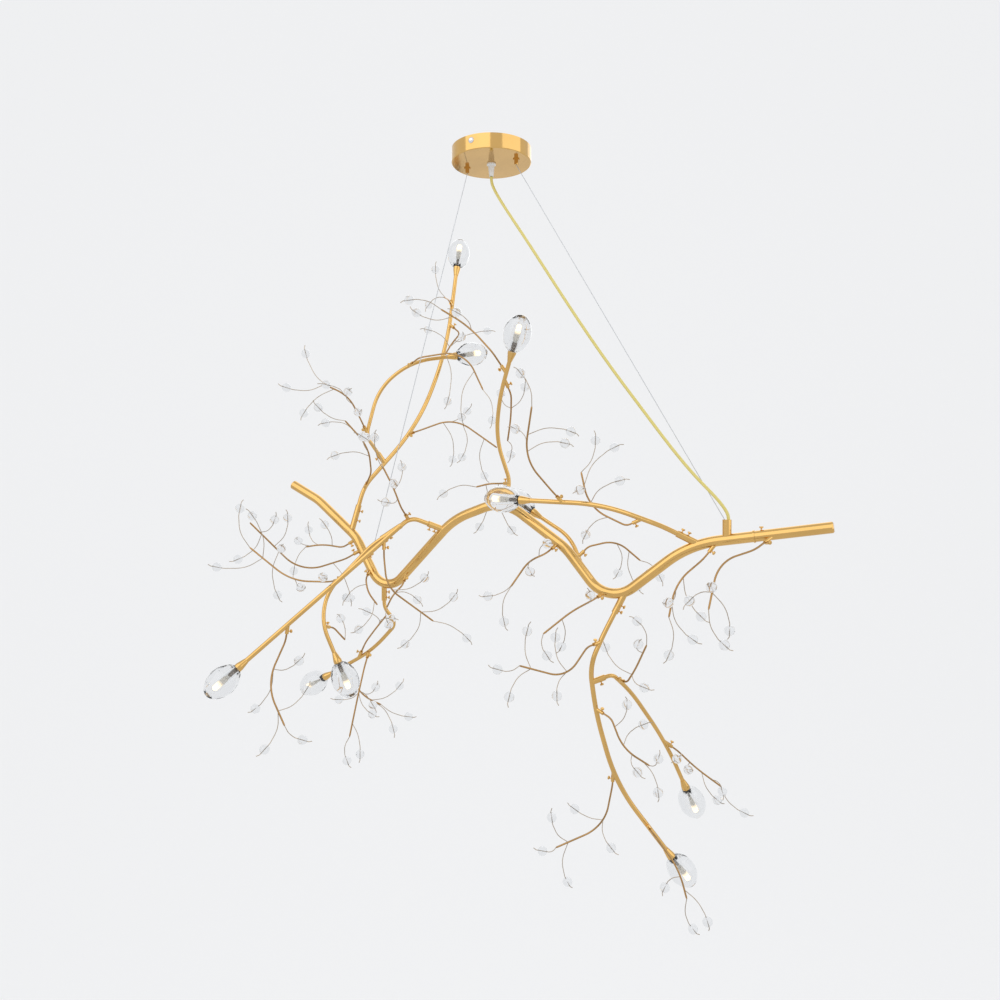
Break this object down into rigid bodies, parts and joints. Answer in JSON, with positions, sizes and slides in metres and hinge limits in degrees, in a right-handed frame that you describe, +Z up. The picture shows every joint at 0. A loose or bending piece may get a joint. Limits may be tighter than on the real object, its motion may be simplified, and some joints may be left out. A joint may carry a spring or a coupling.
{
  "type": "branch chandelier",
  "caption": "Gold branch chandelier: a wavy hung stem with bent swivelling branches, glass egg lamps and wire twigs of clear glass beads, under a round ceiling plate.",
  "frame": {"origin": "ceiling plane, at the middle of the ceiling plate's fixing bar", "axes": "+Z up into the ceiling, +X to the viewer's right in the picture, +Y away from the viewer; the stem hangs in a vertical plane turned 25 degrees, its right end nearer the viewer"},
  "size_m": [0.8777, 0.4966, 1.1434],
  "materials": {
    "polished_brass": "polished gold-coloured brass",
    "twig_wire": "bright champagne wire",
    "zinc_steel": "zinc plated",
    "chrome_screws": "chrome plated",
    "clear_nylon": "translucent nylon",
    "white_plastic": "matt moulded",
    "steel_rope": "fine steel rope",
    "amber_cable": "clear yellow-gold sheath",
    "wire_insulation": "insulation",
    "clear_glass": "clear polished glass",
    "lamp_metal": "threaded lampholder with a warm white bulb"
  },
  "bodies": {
    "ceiling_set": {"ceiling_bracket": "zinc_steel", "canopy": "polished_brass", "canopy_side_screws": "chrome_screws", "wire_grippers": "polished_brass", "cable_gland": "clear_nylon", "gland_nut": "clear_nylon", "terminal_block": "white_plastic", "led_driver": "white_plastic"},
    "hanging_frame": {"suspension_wires": "steel_rope", "power_cable": "amber_cable", "main_stem": "polished_brass", "stem_end_piece": "polished_brass", "stem_end_caps": "polished_brass", "hanger_post": "polished_brass", "wire_clip": "polished_brass", "stem_thumbscrews": "polished_brass", "stem_wiring": "wire_insulation", "stem_twigs": "twig_wire", "stem_beads": "clear_glass"},
    "branch_1": {"branch_1_tube": "polished_brass", "branch_1_lamp": "lamp_metal", "branch_1_glass": "clear_glass", "branch_1_twigs": "twig_wire"},
    "branch_2": {"branch_2_tube": "polished_brass", "branch_2_lamp": "lamp_metal", "branch_2_glass": "clear_glass", "branch_2_twigs": "twig_wire"},
    "branch_3": {"branch_3_tube": "polished_brass", "branch_3_lamp": "lamp_metal", "branch_3_glass": "clear_glass", "branch_3_twigs": "twig_wire"},
    "branch_4": {"branch_4_tube": "polished_brass", "branch_4_lamp": "lamp_metal", "branch_4_glass": "clear_glass", "branch_4_twigs": "twig_wire"},
    "branch_5": {"branch_5_tube": "polished_brass", "branch_5_lamp": "lamp_metal", "branch_5_glass": "clear_glass", "branch_5_twigs": "twig_wire"},
    "branch_6": {"branch_6_tube": "polished_brass", "branch_6_lamp": "lamp_metal", "branch_6_glass": "clear_glass", "branch_6_twigs": "twig_wire"},
    "branch_7": {"branch_7_tube": "polished_brass", "branch_7_lamp": "lamp_metal", "branch_7_glass": "clear_glass", "branch_7_twigs": "twig_wire"},
    "branch_8": {"branch_8_tube": "polished_brass", "branch_8_lamp": "lamp_metal", "branch_8_glass": "clear_glass", "branch_8_twigs": "twig_wire"},
    "branch_9": {"branch_9_tube": "polished_brass", "branch_9_lamp": "lamp_metal", "branch_9_glass": "clear_glass", "branch_9_twigs": "twig_wire"},
    "branch_10": {"branch_10_tube": "polished_brass", "branch_10_lamp": "lamp_metal", "branch_10_glass": "clear_glass", "branch_10_twigs": "twig_wire"}
  },
  "joints": [
    {"name": "frame_swing", "type": "hinge", "parent": "ceiling_set", "child": "hanging_frame", "pos_m": [0, 0, -0.03], "axis": [0.9063, -0.4226, 0], "range_deg": [-10, 10]},
    {"name": "branch_1_swivel", "type": "hinge", "parent": "hanging_frame", "child": "branch_1", "pos_m": [-0.23045, 0.10746, -0.58258], "axis": [0.2571, 0.0643, 0.9642], "range_deg": [-30, 30]},
    {"name": "branch_2_swivel", "type": "hinge", "parent": "branch_1", "child": "branch_2", "pos_m": [-0.17882, 0.1292, -0.46851], "axis": [-0.5523, -0.0921, 0.8285], "range_deg": [-10, 10]},
    {"name": "branch_3_swivel", "type": "hinge", "parent": "hanging_frame", "child": "branch_3", "pos_m": [0.02225, -0.01037, -0.53966], "axis": [0.124, 0, 0.9923], "range_deg": [-10, 10]},
    {"name": "branch_4_swivel", "type": "hinge", "parent": "hanging_frame", "child": "branch_4", "pos_m": [0.28395, -0.13241, -0.59068], "axis": [-0.8909, 0.0891, 0.4454], "range_deg": [-10, 30]},
    {"name": "branch_5_swivel", "type": "hinge", "parent": "hanging_frame", "child": "branch_5", "pos_m": [-0.0734, 0.03423, -0.57611], "axis": [-0.8704, -0.3482, 0.3482], "range_deg": [-5, 10]},
    {"name": "branch_6_swivel", "type": "hinge", "parent": "hanging_frame", "child": "branch_6", "pos_m": [-0.17296, 0.08065, -0.66334], "axis": [0, 0, -1], "range_deg": [-15, 60]},
    {"name": "branch_7_swivel", "type": "hinge", "parent": "branch_5", "child": "branch_7", "pos_m": [-0.13742, 0.00722, -0.56885], "axis": [-0.8321, 0, -0.5547], "range_deg": [-8, 10]},
    {"name": "branch_8_swivel", "type": "hinge", "parent": "branch_9", "child": "branch_8", "pos_m": [0.14325, -0.08002, -0.78819], "axis": [0.937, 0.1562, 0.3123], "range_deg": [-10, 60]},
    {"name": "branch_9_swivel", "type": "hinge", "parent": "hanging_frame", "child": "branch_9", "pos_m": [0.18977, -0.08849, -0.65886], "axis": [-0.446, 0.0743, -0.892], "range_deg": [-60, 60]},
    {"name": "branch_10_swivel", "type": "hinge", "parent": "hanging_frame", "child": "branch_10", "pos_m": [0.13828, -0.06448, -0.6401], "axis": [-0.1302, 0.9113, 0.3906], "range_deg": [-5, 60]}
  ]
}
